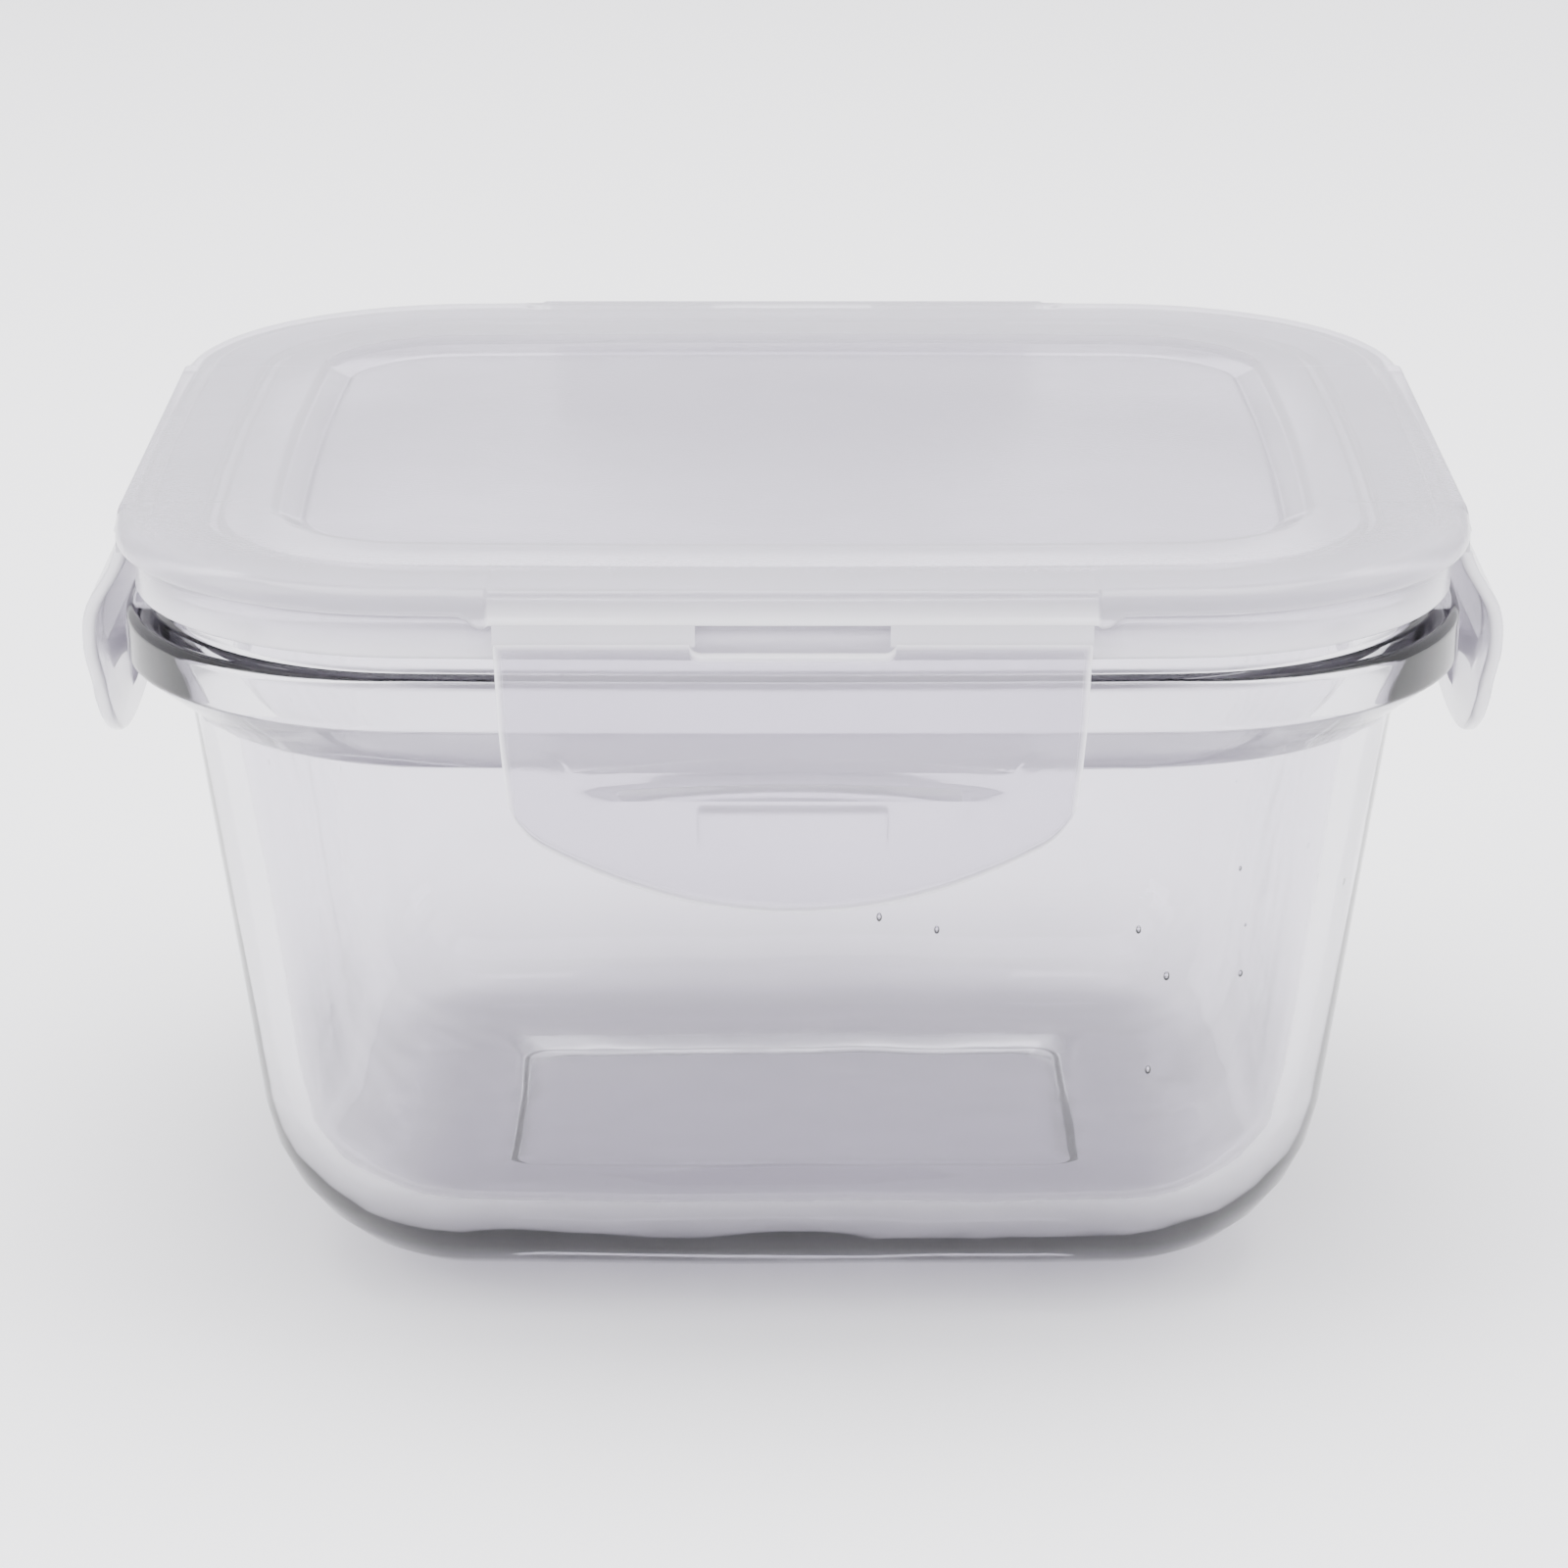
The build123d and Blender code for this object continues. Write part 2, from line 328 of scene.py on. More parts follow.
def stations(end, marks):
    """Distances along half a side: evenly spaced, or closely spaced round the marks."""
    if not marks:
        return spread(0, end, SIDE_STEPS)
    even = spread(0, marks[0] - MARK_LEAD, SIDE_STEPS)
    close = [m for m in marks if m < end - MARK_MARGIN]
    rest = len(marks) - len(close) + MARK_EXTRA_STEPS
    step = (end - close[-1]) / rest
    return even + close + [close[-1] + step * (k + 1) for k in range(rest)]


def quadrant(half_x, half_y, corner, bow, marks):
    """Points of a quarter of the plan outline: x, y, normal angle and distance along the side."""
    # Radii and centres of the two bowed sides, then the centre of the corner arc that touches both
    rx = ((half_y - bow) ** 2 + bow**2) / (2 * bow)
    ry = ((half_x - bow) ** 2 + bow**2) / (2 * bow)
    ax, by = half_x - rx, half_y - ry
    r1, r2 = rx - corner, ry - corner
    gap = hypot(ax, by)
    along = (r1 * r1 - r2 * r2 + gap * gap) / (2 * gap)
    up = sqrt(r1 * r1 - along * along)
    dx, dy = -ax / gap, by / gap
    px, py = ax + dx * along - dy * up, dy * along + dx * up
    first, last = atan2(py, px - ax), atan2(py - by, px)
    points = []
    for s in stations(rx * sin(first), marks):
        t = asin(s / rx)
        points.append((ax + rx * cos(t), s, t, s))
    for k in range(1, CORNER_STEPS):
        t = first + (last - first) * k / CORNER_STEPS
        x, y = px + corner * cos(t), py + corner * sin(t)
        points.append((x, y, t, y if t < pi / 4 else x))
    for s in reversed(stations(ry * cos(last), marks)):
        t = pi / 2 - asin(s / ry)
        points.append((s, by + ry * sin(t), t, s))
    return points


def plan_points(half_x=HALF_X, half_y=HALF_Y, corner=CORNER, bow=BOW, marks=()):
    """The whole plan outline, anticlockwise from the middle of the right side."""
    quarter = quadrant(half_x, half_y, corner, bow, marks)
    whole = list(quarter)
    whole += [(-x, y, pi - t, s) for x, y, t, s in reversed(quarter)][1:]
    whole += [(-x, -y, pi + t, s) for x, y, t, s in quarter][1:]
    whole += [(x, -y, 2 * pi - t, s) for x, y, t, s in reversed(quarter)][1:-1]
    return whole


def loop_at(plan, inset, depth):
    """The plan outline drawn in by an inset, at a depth."""
    return [(x - inset * cos(t), y - inset * sin(t), HEIGHT - depth) for x, y, t, _ in plan]


def inner_rings(ring, shares):
    """Smaller copies of a loop towards the centre."""
    return [[(x * s, y * s, z) for x, y, z in ring] for s in shares]


def skin(loops, closed=False, capped=False):
    """Quads between loops of equal length, with the last loop joined to the first or fans at both ends."""
    count = len(loops[0])
    verts = [p for ring in loops for p in ring]
    faces = []
    pairs = [(i, i + 1) for i in range(len(loops) - 1)]
    if closed:
        pairs.append((len(loops) - 1, 0))
    for i, j in pairs:
        for k in range(count):
            m = (k + 1) % count
            faces.append((i * count + k, j * count + k, j * count + m, i * count + m))
    if capped:
        for start, flip in ((0, False), ((len(loops) - 1) * count, True)):
            centre = len(verts)
            verts.append((0, 0, verts[start][2]))
            for k in range(count):
                a, b = start + k, start + (k + 1) % count
                faces.append((centre, b, a) if flip else (centre, a, b))
    return verts, faces


def flipped(faces):
    """The same faces, turned inside out."""
    return [tuple(reversed(f)) for f in faces]


def sheet_faces(across, down, base=0):
    """Faces of a thin sheet: its front, its back and the rim that joins them.

    The front's points come column by column from the base on, and the back's come after them.
    """
    back = base + across * down
    faces = []
    for i in range(across - 1):
        for j in range(down - 1):
            a, b = i * down + j, (i + 1) * down + j
            faces.append((base + a, base + a + 1, base + b + 1, base + b))
            faces.append((back + a, back + b, back + b + 1, back + a + 1))
    last = (across - 1) * down
    rim = list(range(down))
    rim += [i * down + down - 1 for i in range(1, across)]
    rim += [last + k for k in range(down - 2, -1, -1)]
    rim += [i * down for i in range(across - 2, 0, -1)]
    for k, a in enumerate(rim):
        b = rim[(k + 1) % len(rim)]
        faces.append((base + a, back + a, back + b, base + b))
    return faces


def side_point(angle, out, along, depth):
    """A point in millimetres from its place on a side."""
    a = radians(angle)
    return (out * cos(a) - along * sin(a), out * sin(a) + along * cos(a), HEIGHT - depth)


# ---------------------------------------------------------------- materials
def new_material(name):
    """A node material, with its nodes, its links and its shader."""
    material = bpy.data.materials.new(name)
    material.use_nodes = True
    nodes = material.node_tree.nodes
    return material, nodes, material.node_tree.links, nodes["Principled BSDF"]


def add_noise(nodes, links, scale, detail, stretch=(1, 1, 1)):
    """A noise texture in object coordinates."""
    coords = nodes.new("ShaderNodeTexCoord")
    mapping = nodes.new("ShaderNodeMapping")
    mapping.inputs["Scale"].default_value = stretch
    texture = nodes.new("ShaderNodeTexNoise")
    texture.inputs["Scale"].default_value = scale
    texture.inputs["Detail"].default_value = detail
    links.new(coords.outputs["Object"], mapping.inputs["Vector"])
    links.new(mapping.outputs["Vector"], texture.inputs["Vector"])
    return texture.outputs["Fac"]


def add_ramp(nodes, links, source, low, high):
    """A colour ramp between two colours."""
    ramp = nodes.new("ShaderNodeValToRGB")
    for element, place, colour in zip(ramp.color_ramp.elements, (NOISE_LOW, NOISE_HIGH), (low, high)):
        element.position = place
        element.color = (*colour, 1)
    links.new(source, ramp.inputs["Fac"])
    return ramp.outputs["Color"]


def add_range(nodes, links, source, low, high):
    """A noise value mapped to a new range."""
    node = nodes.new("ShaderNodeMapRange")
    node.inputs["From Min"].default_value = NOISE_LOW
    node.inputs["From Max"].default_value = NOISE_HIGH
    node.inputs["To Min"].default_value = low
    node.inputs["To Max"].default_value = high
    links.new(source, node.inputs["Value"])
    return node.outputs["Result"]


def add_bump(nodes, links, source, strength, distance, under=None):
    """A bump node, on top of another one if given."""
    bump = nodes.new("ShaderNodeBump")
    bump.inputs["Strength"].default_value = strength
    bump.inputs["Distance"].default_value = distance
    links.new(source, bump.inputs["Height"])
    if under is not None:
        links.new(under, bump.inputs["Normal"])
    return bump.outputs["Normal"]


def glass_material():
    """Clear pressed glass: slightly uneven and cool grey, with a faint green tint through thick edges."""
    material, nodes, links, shader = new_material("pressed_glass")
    shader.inputs["Transmission Weight"].default_value = 1.0
    shader.inputs["IOR"].default_value = 1.5
    cloud = add_noise(nodes, links, scale=30, detail=2)
    tint = add_ramp(nodes, links, cloud, GLASS_LOW, GLASS_HIGH)
    links.new(tint, shader.inputs["Base Color"])
    haze = add_noise(nodes, links, scale=140, detail=4)
    links.new(add_range(nodes, links, haze, low=0.0, high=0.05), shader.inputs["Roughness"])
    waves = add_noise(nodes, links, scale=42, detail=2, stretch=(1, 1, 0.35))
    bump = add_bump(nodes, links, waves, strength=0.16, distance=0.002)
    links.new(bump, shader.inputs["Normal"])
    absorb = nodes.new("ShaderNodeVolumeAbsorption")
    absorb.inputs["Color"].default_value = GLASS_DEPTH
    absorb.inputs["Density"].default_value = GLASS_DENSITY
    links.new(absorb.outputs["Volume"], nodes["Material Output"].inputs["Volume"])
    return material


def plastic_material(name, low, high, see_through, rough, grain):
    """Frosted translucent plastic with a fine moulded grain; the edge attribute paints a highlight along
    rounded edges, paler and less see-through.
    """
    material, nodes, links, shader = new_material(name)
    shader.inputs["IOR"].default_value = 1.45
    cloud = add_noise(nodes, links, scale=26, detail=3)
    # Painted highlight: the edge attribute pales the colour and cuts the see-through along rounded edges
    edge = nodes.new("ShaderNodeAttribute")
    edge.attribute_name = "edge"
    highlight_mix = nodes.new("ShaderNodeMix")
    highlight_mix.data_type = "RGBA"
    links.new(edge.outputs["Fac"], highlight_mix.inputs["Factor"])
    links.new(add_ramp(nodes, links, cloud, low, high), highlight_mix.inputs["A"])
    highlight_mix.inputs["B"].default_value = EDGE_HIGHLIGHT_COLOUR
    links.new(highlight_mix.outputs["Result"], shader.inputs["Base Color"])
    highlight_transmission = nodes.new("ShaderNodeMapRange")
    highlight_transmission.inputs["To Min"].default_value = see_through
    highlight_transmission.inputs["To Max"].default_value = see_through * EDGE_HIGHLIGHT_SEE_THROUGH
    links.new(edge.outputs["Fac"], highlight_transmission.inputs["Value"])
    links.new(highlight_transmission.outputs["Result"], shader.inputs["Transmission Weight"])
    patches = add_noise(nodes, links, scale=60, detail=4)
    roughness = add_range(nodes, links, patches, low=rough - 0.04, high=rough + 0.05)
    links.new(roughness, shader.inputs["Roughness"])
    fine = add_noise(nodes, links, scale=grain, detail=3)
    flow = add_noise(nodes, links, scale=38, detail=2)
    soft = add_bump(nodes, links, flow, strength=0.12, distance=0.0012)
    bump = add_bump(nodes, links, fine, strength=0.08, distance=0.0002, under=soft)
    links.new(bump, shader.inputs["Normal"])
    return material


GLASS = glass_material()
PLASTIC = plastic_material(
    "frosted_polypropylene", PLASTIC_LOW, PLASTIC_HIGH, see_through=0.80, rough=0.14, grain=2600
)
SILICONE = plastic_material(
    "translucent_silicone", SILICONE_LOW, SILICONE_HIGH, see_through=0.7, rough=0.34, grain=1800
)


# ---------------------------------------------------------------- glass dish
def wall_inset(depth):
    """Inset of the dish's outer wall at a depth."""
    return JUNCTION_INSET + DRAFT * (depth - JUNCTION)


def corner_at(depth):
    """Plan corner radius: the lid's at the rim and a larger one from the junction down."""
    share = min(1.0, max(0.0, (depth - FLANGE_FOOT) / (JUNCTION - FLANGE_FOOT)))
    return mix(CORNER, WALL_CORNER, share)


def wavy(ring, size):
    """Moves the points of a loop in and out a little, as pressed glass is uneven."""
    moved = []
    for x, y, z in ring:
        d = size * noise.noise(Vector((x, y, z * WAVE_UPRIGHT)) / WAVE_LENGTH)
        r = max(hypot(x, y), 1e-6)
        moved.append((x + d * x / r, y + d * y / r, z))
    return moved


def punt_loops():
    """Loops of the step in the underside, from its middle out over its rounded edge."""
    edge = plan_points(PUNT[0], PUNT[1], PUNT_CORNER, PUNT_BOW)
    panel = [(x * PUNT_PANEL[0], y * PUNT_PANEL[1], PUNT_STEP) for x, y, _, _ in edge]
    loops = inner_rings(panel, (0.3, 0.6, 0.9, 1.0))
    for factor_x, factor_y, share in PUNT_EDGE:
        loops.append([(x * factor_x, y * factor_y, PUNT_STEP * share) for x, y, _, _ in edge])
    return loops


def dish_section():
    """Section line of the dish from its foot, over the lip and down to the floor, with long runs split."""
    floor = HEIGHT - FLOOR
    line = rounded(
        [
            (FOOT_END, HEIGHT, 0),
            (wall_inset(HEIGHT), HEIGHT, 19.5),
            (JUNCTION_INSET, JUNCTION, 0.7),
            (FLANGE_INSET, FLANGE_FOOT, 1.2),
            (FLANGE_INSET, FLANGE_TOP, 1.0),
            (LIP_OUT, FLANGE_TOP, 0.6),
            (LIP_OUT, LIP_TOP, 1.7),
            (LIP_IN, LIP_TOP, 1.7),
            (JUNCTION_INSET + WALL, JUNCTION, 6.0),
            (wall_inset(floor) + WALL, floor, 14.0),
            (FLOOR_END, floor, 0),
        ],
        steps=DISH_STEPS,
    )
    split = []
    for i, (inset, depth) in enumerate(line):
        split.append((inset, depth))
        if i + 1 < len(line) and abs(line[i + 1][1] - depth) > LONG_RUN:
            for k in range(1, LONG_RUN_STEPS):
                share = k / LONG_RUN_STEPS
                split.append((mix(inset, line[i + 1][0], share), mix(depth, line[i + 1][1], share)))
    return split


def dish_loops():
    """Loops from the underside's middle, up the outside, over the lip and down the inside."""
    loops = punt_loops()
    over_lip = False
    for inset, depth in dish_section()[1:]:
        ring = loop_at(plan_points(corner=corner_at(depth)), min(inset, INSET_LIMIT), depth)
        over_lip = over_lip or (inset > wall_inset(depth) + INSIDE_FROM and depth > JUNCTION)
        if JUNCTION < depth < HEIGHT - FOOT_FLAT:
            ring = wavy(ring, INNER_WAVE if over_lip else OUTER_WAVE)
        loops.append(ring)
    return loops + inner_rings(loops[-1], (0.75, 0.5, 0.25))


def add_bubbles(verts, faces):
    """Small air bubbles inside the glass wall: tiny inward-facing ellipsoids."""
    chance = Random(BUBBLE_SEED)
    plan = plan_points(corner=WALL_CORNER)
    for _ in range(BUBBLE_COUNT):
        depth = chance.uniform(JUNCTION + BUBBLE_TOP, HEIGHT - BUBBLE_FOOT)
        x, y, t, _ = plan[chance.randrange(len(plan))]
        inset = wall_inset(depth) + chance.uniform(BUBBLE_COVER, WALL - BUBBLE_COVER)
        size = chance.uniform(*BUBBLE_SIZE)
        cx, cy, cz = x - inset * cos(t), y - inset * sin(t), HEIGHT - depth
        base = len(verts)
        for i in range(1, BUBBLE_RINGS):
            a = pi * i / BUBBLE_RINGS
            for k in range(BUBBLE_AROUND):
                b = 2 * pi * k / BUBBLE_AROUND
                x, y = cx + size * sin(a) * cos(b), cy + size * sin(a) * sin(b)
                verts.append((x, y, cz + size * BUBBLE_STRETCH * cos(a)))
        top, bottom = len(verts), len(verts) + 1
        verts.append((cx, cy, cz + size * BUBBLE_STRETCH))
        verts.append((cx, cy, cz - size * BUBBLE_STRETCH))
        last = base + (BUBBLE_RINGS - 2) * BUBBLE_AROUND
        for k in range(BUBBLE_AROUND):
            m = (k + 1) % BUBBLE_AROUND
            faces.append((top, base + m, base + k))
            for i in range(BUBBLE_RINGS - 2):
                a, b = base + i * BUBBLE_AROUND + k, base + i * BUBBLE_AROUND + m
                faces.append((a, b, b + BUBBLE_AROUND, a + BUBBLE_AROUND))
            faces.append((bottom, last + k, last + m))


dish_verts, dish_faces = skin(dish_loops(), capped=True)
dish_faces = flipped(dish_faces)
add_bubbles(dish_verts, dish_faces)
dish = make_object("dish_glass", dish_verts, dish_faces, GLASS, DISH_SHARP)
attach(dish, "dish")
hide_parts("glass_dish")


# ---------------------------------------------------------------- lid
def lid_section(wall_share, knob_share, drop):
    """Section line of the lid from the recess, over the edge and back along the underside.

    The wall share is 1 where a straight hinge wall stands at the edge, and drop is how far the
    bowed outline lies inside the straight wall.  The knob share swells the bead beside the wall.
    """
    top_in = wall_share * (-WALL_TOP_OUT - drop)
    foot_in = wall_share * (-WALL_FOOT_OUT - drop) - KNOB_OUT * knob_share
    foot = mix(BEAD, WALL_FOOT, wall_share) + KNOB_DROP * knob_share
    return rounded(
        [
            (SECTION_END, RECESS_DEPTH, 0),
            (RECESS_FOOT, RECESS_DEPTH, 1.6),
            (RECESS_EDGE, 0.0, 1.4),
            (top_in, 0.0, mix(*EDGE_RADIUS, wall_share)),
            (foot_in, foot, mix(*BEAD_RADIUS, wall_share)),
            (SKIRT_OUT, foot, 0.25),
            (SKIRT_OUT, SKIRT_FOOT, 0.5),
            (SKIRT_IN, SKIRT_FOOT, 0.5),
            (SKIRT_IN, PANEL, 0.5),
            (CHANNEL_OUT, PANEL, 0.5),
            (CHANNEL_OUT, CHANNEL_FOOT, 0.35),
            (CHANNEL_IN, CHANNEL_FOOT, 0.35),
            (CHANNEL_IN, PANEL, 0.5),
            ((RECESS_EDGE + RECESS_FOOT) / 2 - UNDER_START, PANEL, 0.8),
            (RECESS_FOOT - UNDER_END, RECESS_DEPTH + PANEL, 0.8),
            (SECTION_END, RECESS_DEPTH + PANEL, 0),
        ],
        steps=LID_STEPS,
    )


def edge_glow(index, wall_share):
    """Strength of the painted highlight at a point of the lid's section."""
    corner = (index + LID_STEPS) // (LID_STEPS + 1)
    if corner == BEAD_PLACE:
        return BEAD_GLOW + WALL_GLOW * wall_share
    return LID_GLOW.get(corner, 0.0)


def lid_loops():
    """Loops of the lid from the recess to the underside, and the painted edge highlight at each point."""
    columns, glow = [], []
    for x, y, t, s in plan_points(marks=LID_MARKS):
        share = 1 - smooth((s - (WALL_HALF - WALL_FADE / 2)) / WALL_FADE)
        knob = (1 - share) * (1 - smooth((s - WALL_HALF - KNOB_GAP) / KNOB_LENGTH))
        drop = HALF_X - abs(x) if abs(cos(t)) > abs(sin(t)) else HALF_Y - abs(y)
        column = []
        for inset, depth in lid_section(share, knob, drop if share > 0 else 0.0):
            d = inset + (RECESS_NARROWING * abs(sin(t)) if inset > NARROWING_FROM else 0.0)
            column.append((x - d * cos(t), y - d * sin(t), HEIGHT - depth))
        columns.append(column)
        glow.append([edge_glow(i, share) for i in range(len(column))])
    places = range(len(columns[0]))
    return [[column[i] for column in columns] for i in places], [g[i] for i in places for g in glow]


lid_rings, lid_glow = lid_loops()
lid_top = inner_rings(lid_rings[0], (0.25, 0.5, 0.75))
lid_under = inner_rings(lid_rings[-1], (0.75, 0.5, 0.25))
lid_verts, lid_faces = skin(lid_top + lid_rings + lid_under, capped=True)
# The rings and the two cap centres get no painted edge highlight
no_glow = [0.0] * (len(lid_top) * len(lid_rings[0]))
lid_edge_highlight = no_glow + lid_glow + no_glow + [0.0, 0.0]
lid = make_object("lid_shell", lid_verts, lid_faces, PLASTIC, LID_SHARP, lid_edge_highlight)
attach(lid, "lid")
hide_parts("lid_panel")


# ---------------------------------------------------------------- seal
def seal_loops():
    """A flat silicone ring with two soft sealing beads under it."""
    section = rounded(
        [
            (5.9, SEAL_TOP, 0),
            (8.5, SEAL_TOP, 0.4),
            (8.5, SEAL_FOOT, 0.6),
            (7.2, SEAL_BEAD, 0.5),
            (6.0, SEAL_FOOT, 0.5),
            (4.8, SEAL_BEAD, 0.5),
            (3.4, SEAL_FOOT, 0.6),
            (3.4, SEAL_TOP, 0.4),
            (5.9, SEAL_TOP, 0),
        ],
        steps=4,
    )[:-1]
    return [loop_at(plan_points(), inset, depth) for inset, depth in section]


seal_verts, seal_faces = skin(seal_loops(), closed=True)
seal = make_object("seal_ring", seal_verts, flipped(seal_faces), SILICONE, SEAL_SHARP)
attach(seal, "lid")
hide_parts("lid_seal")


# ---------------------------------------------------------------- latches
def reach_at(depth):
    """How far out the latch's outer face stands at a depth: a smooth curve through REACH."""
    depth = max(REACH[0][1], min(REACH[-1][1], depth))
    i = next(k for k in range(len(REACH) - 1) if depth <= REACH[k + 1][1])
    (o0, d0), (o1, d1) = REACH[i], REACH[i + 1]

    def slope(k):
        low, high = max(k - 1, 0), min(k + 1, len(REACH) - 1)
        return (REACH[high][0] - REACH[low][0]) / (REACH[high][1] - REACH[low][1])

    span = d1 - d0
    t = (depth - d0) / span
    a = (2 * t**3 - 3 * t**2 + 1) * o0 + (t**3 - 2 * t**2 + t) * span * slope(i)
    return a + (3 * t**2 - 2 * t**3) * o1 + (t**3 - t**2) * span * slope(i + 1)


def flap_top(x):
    """Depth of the latch's top edge, lower in the slot between the hinge strips."""
    over = abs(x) - SLOT_HALF + SLOT_CORNER
    if over <= 0:
        return SLOT_FOOT
    if over >= SLOT_CORNER:
        return FLAP_TOP
    return SLOT_FOOT - SLOT_CORNER + sqrt(SLOT_CORNER**2 - over**2)


def flap_foot(x):
    """Depth of the latch's lower edge: an arc that ends in rounded corners."""
    sag = FLAP_TIP - FLAP_SIDE
    radius = (FLAP_FOOT_HALF**2 + sag**2) / (2 * sag)
    depth = FLAP_TIP - radius + sqrt(radius**2 - x * x)
    over = (abs(x) - FLAP_FOOT_HALF + FLAP_CORNER) / FLAP_CORNER
    if over > 0:
        depth -= FLAP_CORNER * (1 - sqrt(max(0.0, 1 - min(1.0, over) ** 2)))
    return depth


def flap_columns():
    """Places across the latch, close together at its sides and at the slot's ends."""
    half = [FLAP_FOOT_HALF - e for e in EDGE_STEPS + SIDE_COLUMNS]
    first, step, count = RIB_COLUMNS
    half += [first - step * k for k in range(count)]
    half += SLOT_COLUMNS + MIDDLE_COLUMNS
    return sorted([-x for x in half] + half)


def flap_rows(x):
    """Depths down the latch at a column."""
    top, foot = flap_top(x), flap_foot(x)
    rows = [top + e for e in EDGE_STEPS[:-1]]
    if abs(x) > RIB_HALF + RIB_MARGIN:
        rows += spread(top + EDGE_STEPS[-1], foot - EDGE_STEPS[-1], PLAIN_ROWS)
    else:
        rows += spread(top + EDGE_STEPS[-1], ROW_OVER_RIB, ROWS_TO_RIB)
        rows += [ROW_AT_RIB, *(d for d, _ in RIB_PROFILE), ROW_UNDER_RIB]
        rows += spread(ROW_FROM_RIB, foot - EDGE_STEPS[-1], ROWS_FROM_RIB)
    rows += [foot - e for e in reversed(EDGE_STEPS[:-1])]
    return rows, top, foot


def edge_fall(distance):
    """How far the surface falls back near an edge that is rounded."""
    if distance >= FLAP_EDGE:
        return 0.0
    return FLAP_EDGE - sqrt(FLAP_EDGE**2 - (FLAP_EDGE - distance) ** 2)


def rib_at(x, depth):
    """Thickness of the locking rib on the back of a latch: a lens in plan with a flat top."""
    radius = (RIB_HALF**2 + RIB_SAG**2) / (2 * RIB_SAG)
    sag = RIB_SAG - radius + sqrt(max(0.0, radius**2 - x * x))
    if sag <= 0 or not RIB_PROFILE[0][0] < depth < RIB_PROFILE[-1][0]:
        return 0.0
    i = next(k for k in range(len(RIB_PROFILE) - 1) if depth <= RIB_PROFILE[k + 1][0])
    (d0, a), (d1, b) = RIB_PROFILE[i], RIB_PROFILE[i + 1]
    return sag * (a + (b - a) * (depth - d0) / (d1 - d0))


def pad_at(x, depth):
    """Thickness of the grip pad on the back of a latch."""
    across = 1 - smooth((abs(x) - PAD["half"]) / PAD["soft"])
    upper = smooth((depth - PAD["top"]) / PAD["soft"])
    lower = 1 - smooth((depth - PAD["foot"]) / PAD["soft"])
    return PAD["thick"] * across * (upper * lower)


def build_flap(side):
    """A latch: a curved panel with rounded edges."""
    angle, half = SIDES[side]
    xs = flap_columns()
    front, back, glow = [], [], []
    for x in xs:
        rows, top, foot = flap_rows(x)
        for depth in rows:
            share = (depth - FLAP_TOP) / (FLAP_SIDE - FLAP_TOP)
            along = x * mix(FLAP_HALF, FLAP_FOOT_HALF, share) / FLAP_FOOT_HALF
            edge = min(FLAP_FOOT_HALF - abs(x), depth - top, foot - depth)
            fall = edge_fall(edge)
            out = reach_at(depth)
            thick = FLAP + pad_at(x, depth) + rib_at(x, depth)
            front.append(side_point(angle, half + out - fall, along, depth))
            back.append(side_point(angle, half + out - thick + fall, along, depth))
            # Painted highlight, strongest at the rounded edges
            glow.append(max(0.0, 1 - edge / EDGE_GLOW))
    faces = sheet_faces(len(xs), len(front) // len(xs))
    flap = make_object(f"{side}_latch_panel", front + back, faces, PLASTIC, FLAP_SHARP, glow + glow)
    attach(flap, f"{side}_latch")
    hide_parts(f"{side}_latch")


def build_web(side):
    """The two thin strips of the living hinge (which bend on the real latch), built as flat sheets."""
    angle, half = SIDES[side]
    verts, faces = [], []
    for inner, outer in ((-FLAP_HALF, -SLOT_HALF), (SLOT_HALF, FLAP_HALF)):
        base = len(verts)
        for face_out in (WEB_OUT + WEB / 2, WEB_OUT - WEB / 2):
            for along in spread(inner, outer, WEB_COLUMNS):
                for depth in spread(WALL_FOOT - WEB_IN_WALL, FLAP_TOP + WEB_IN_FLAP, WEB_ROWS):
                    verts.append(side_point(angle, half + face_out, along, depth))
        faces += sheet_faces(WEB_COLUMNS + 1, WEB_ROWS + 1, base)
    # The hinge strips get an even painted highlight
    glow = [WEB_GLOW] * len(verts)
    web = make_object(f"{side}_living_hinge", verts, faces, PLASTIC, WEB_SHARP, glow)
    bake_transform(web)
    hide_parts(f"{side}_hinge_web")


for side in SIDES:
    build_flap(side)
    build_web(side)


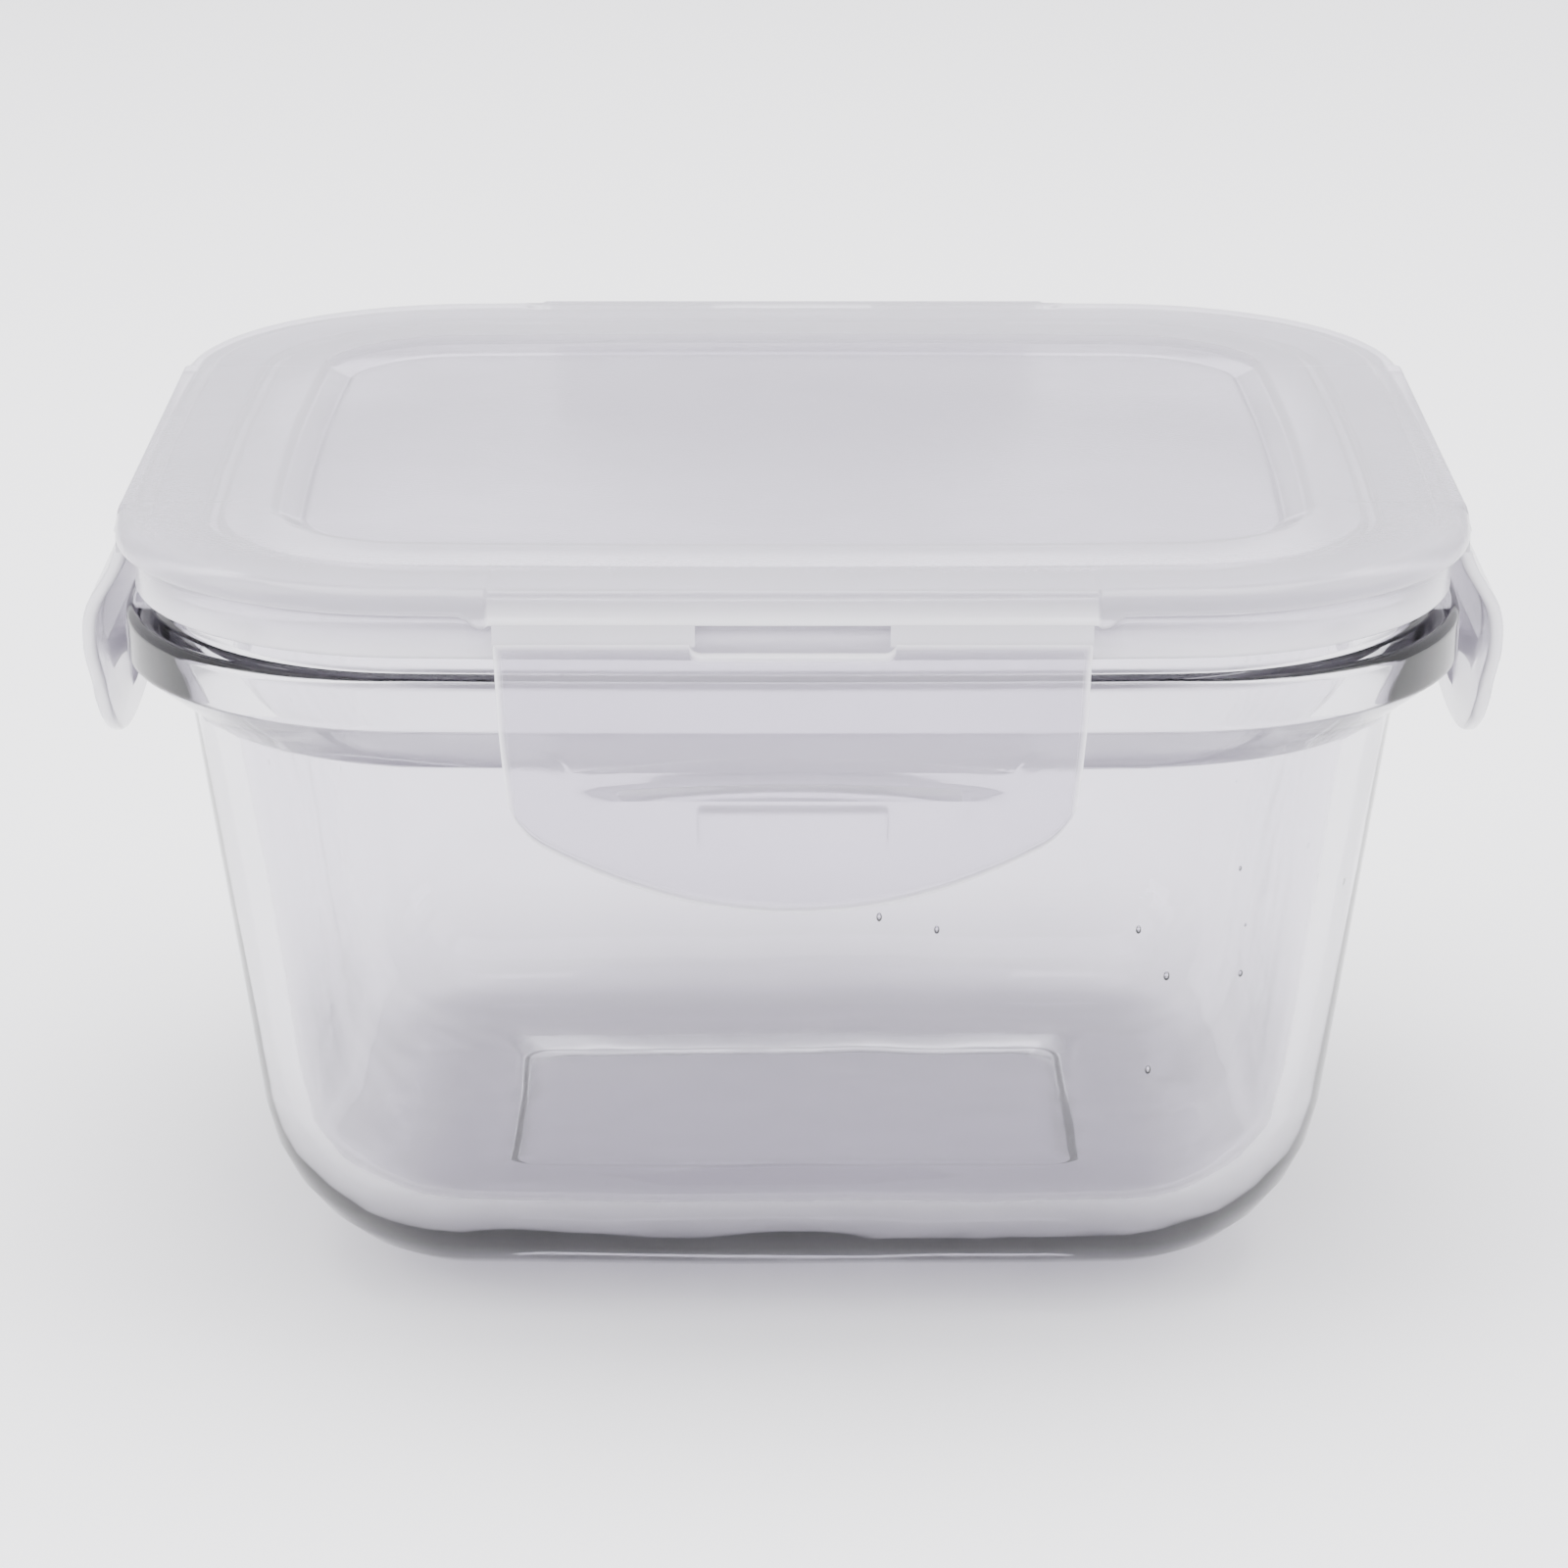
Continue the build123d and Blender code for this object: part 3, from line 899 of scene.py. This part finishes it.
# ---------------------------------------------------------------- floor, light and camera
def floor_material():
    """A pale matt floor."""
    material, nodes, links, shader = new_material("pale_floor")
    cloud = add_noise(nodes, links, scale=3, detail=2)
    tint = add_ramp(nodes, links, cloud, GROUND_LOW, GROUND_HIGH)
    links.new(tint, shader.inputs["Base Color"])
    shader.inputs["Roughness"].default_value = 0.9
    return material


def add_light(name, location, size, energy):
    """A soft rectangular light that faces the middle of the container."""
    data = bpy.data.lights.new(name, "AREA")
    data.shape = "RECTANGLE"
    data.size, data.size_y = size
    data.energy = energy
    light = bpy.data.objects.new(name, data)
    light.location = location
    aim = Vector((0, 0, HEIGHT * MM / 2)) - Vector(location)
    light.rotation_euler = aim.to_track_quat("-Z", "Y").to_euler()
    bpy.context.scene.collection.objects.link(light)


floor_corners = [
    (x * GROUND_SIZE, y * GROUND_SIZE, -GROUND_GAP) for x, y in ((-1, -1), (1, -1), (1, 1), (-1, 1))
]
floor_mesh = bpy.data.meshes.new("floor")
floor_mesh.from_pydata(floor_corners, [], [(0, 1, 2, 3)])
floor_mesh.materials.append(floor_material())
floor = bpy.data.objects.new("floor", floor_mesh)
bpy.context.scene.collection.objects.link(floor)

world = bpy.data.worlds.new("studio")
bpy.context.scene.world = world
world.use_nodes = True
background = world.node_tree.nodes["Background"]
background.inputs["Color"].default_value = STUDIO_COLOUR
background.inputs["Strength"].default_value = STUDIO_STRENGTH
add_light("overhead", location=(0.0, 0.1, 1.1), size=(1.2, 0.9), energy=26)
add_light("left_panel", location=(-0.9, -0.3, 0.6), size=(0.5, 0.9), energy=7)
add_light("right_panel", location=(0.9, -0.2, 0.6), size=(0.5, 0.9), energy=5)

camera_data = bpy.data.cameras.new("camera")
camera_data.sensor_width = CAMERA_SENSOR
camera_data.lens = CAMERA_LENS
camera_data.shift_x = CAMERA_SHIFT
camera = bpy.data.objects.new("camera", camera_data)
camera.location = (0, -CAMERA_BACK, HEIGHT * MM + CAMERA_OVER)
camera.rotation_euler = (radians(90 - CAMERA_PITCH), 0, 0)
bpy.context.scene.collection.objects.link(camera)
bpy.context.scene.camera = camera
